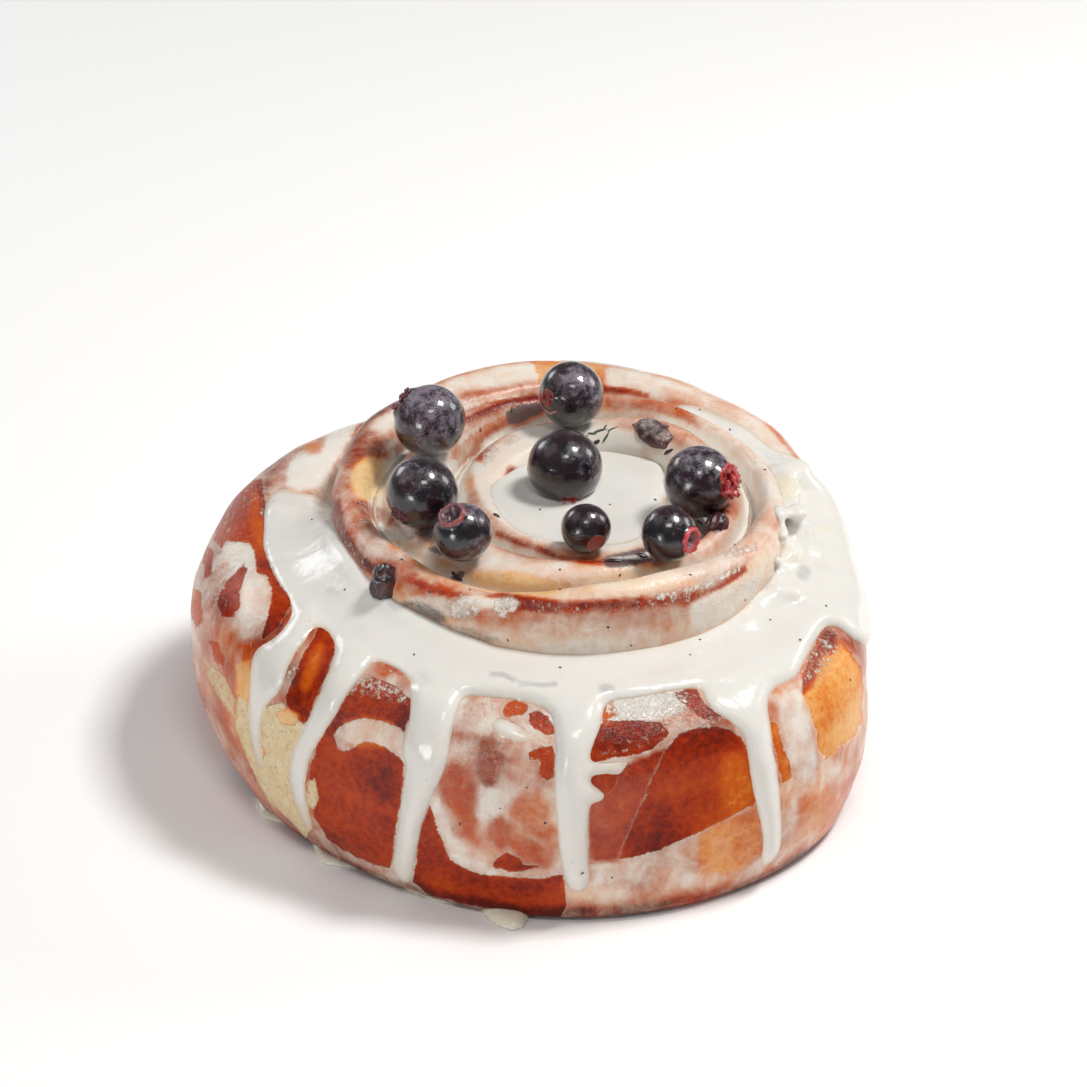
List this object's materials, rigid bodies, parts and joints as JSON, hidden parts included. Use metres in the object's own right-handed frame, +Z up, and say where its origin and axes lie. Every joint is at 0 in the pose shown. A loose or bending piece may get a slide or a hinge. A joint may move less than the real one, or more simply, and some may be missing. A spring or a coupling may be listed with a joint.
{
  "type": "cinnamon roll",
  "caption": "Coiled yeast bun with a puffed outer turn round a raised middle, a thin dark spiral filling between its turns, and round dark berries lying on its glazed top.",
  "frame": {"origin": "centre of the bounding box at the flat underside", "axes": "+Z up, -Y the front that the picture looks at, +X to the picture's right"},
  "size_m": [0.1074, 0.1066, 0.0575],
  "materials": {
    "crust": "baked golden-brown yeast dough under a thin wet glaze",
    "filling": "dark cinnamon paste",
    "berry": "near-black shiny berry skin with a faint bloom",
    "crushed_berry": "wet torn dark berry skin"
  },
  "bodies": {
    "root": {"dough": "crust", "filling": "filling", "berry_back": "berry", "berry_left_high": "berry", "berry_left_mid": "berry", "berry_left_low": "berry", "berry_heart": "berry", "berry_front_small": "berry", "berry_right_small": "berry", "berry_right": "berry", "crushed_berry_back": "crushed_berry", "crushed_berry_left": "crushed_berry", "crushed_berry_right": "crushed_berry"}
  },
  "joints": []
}
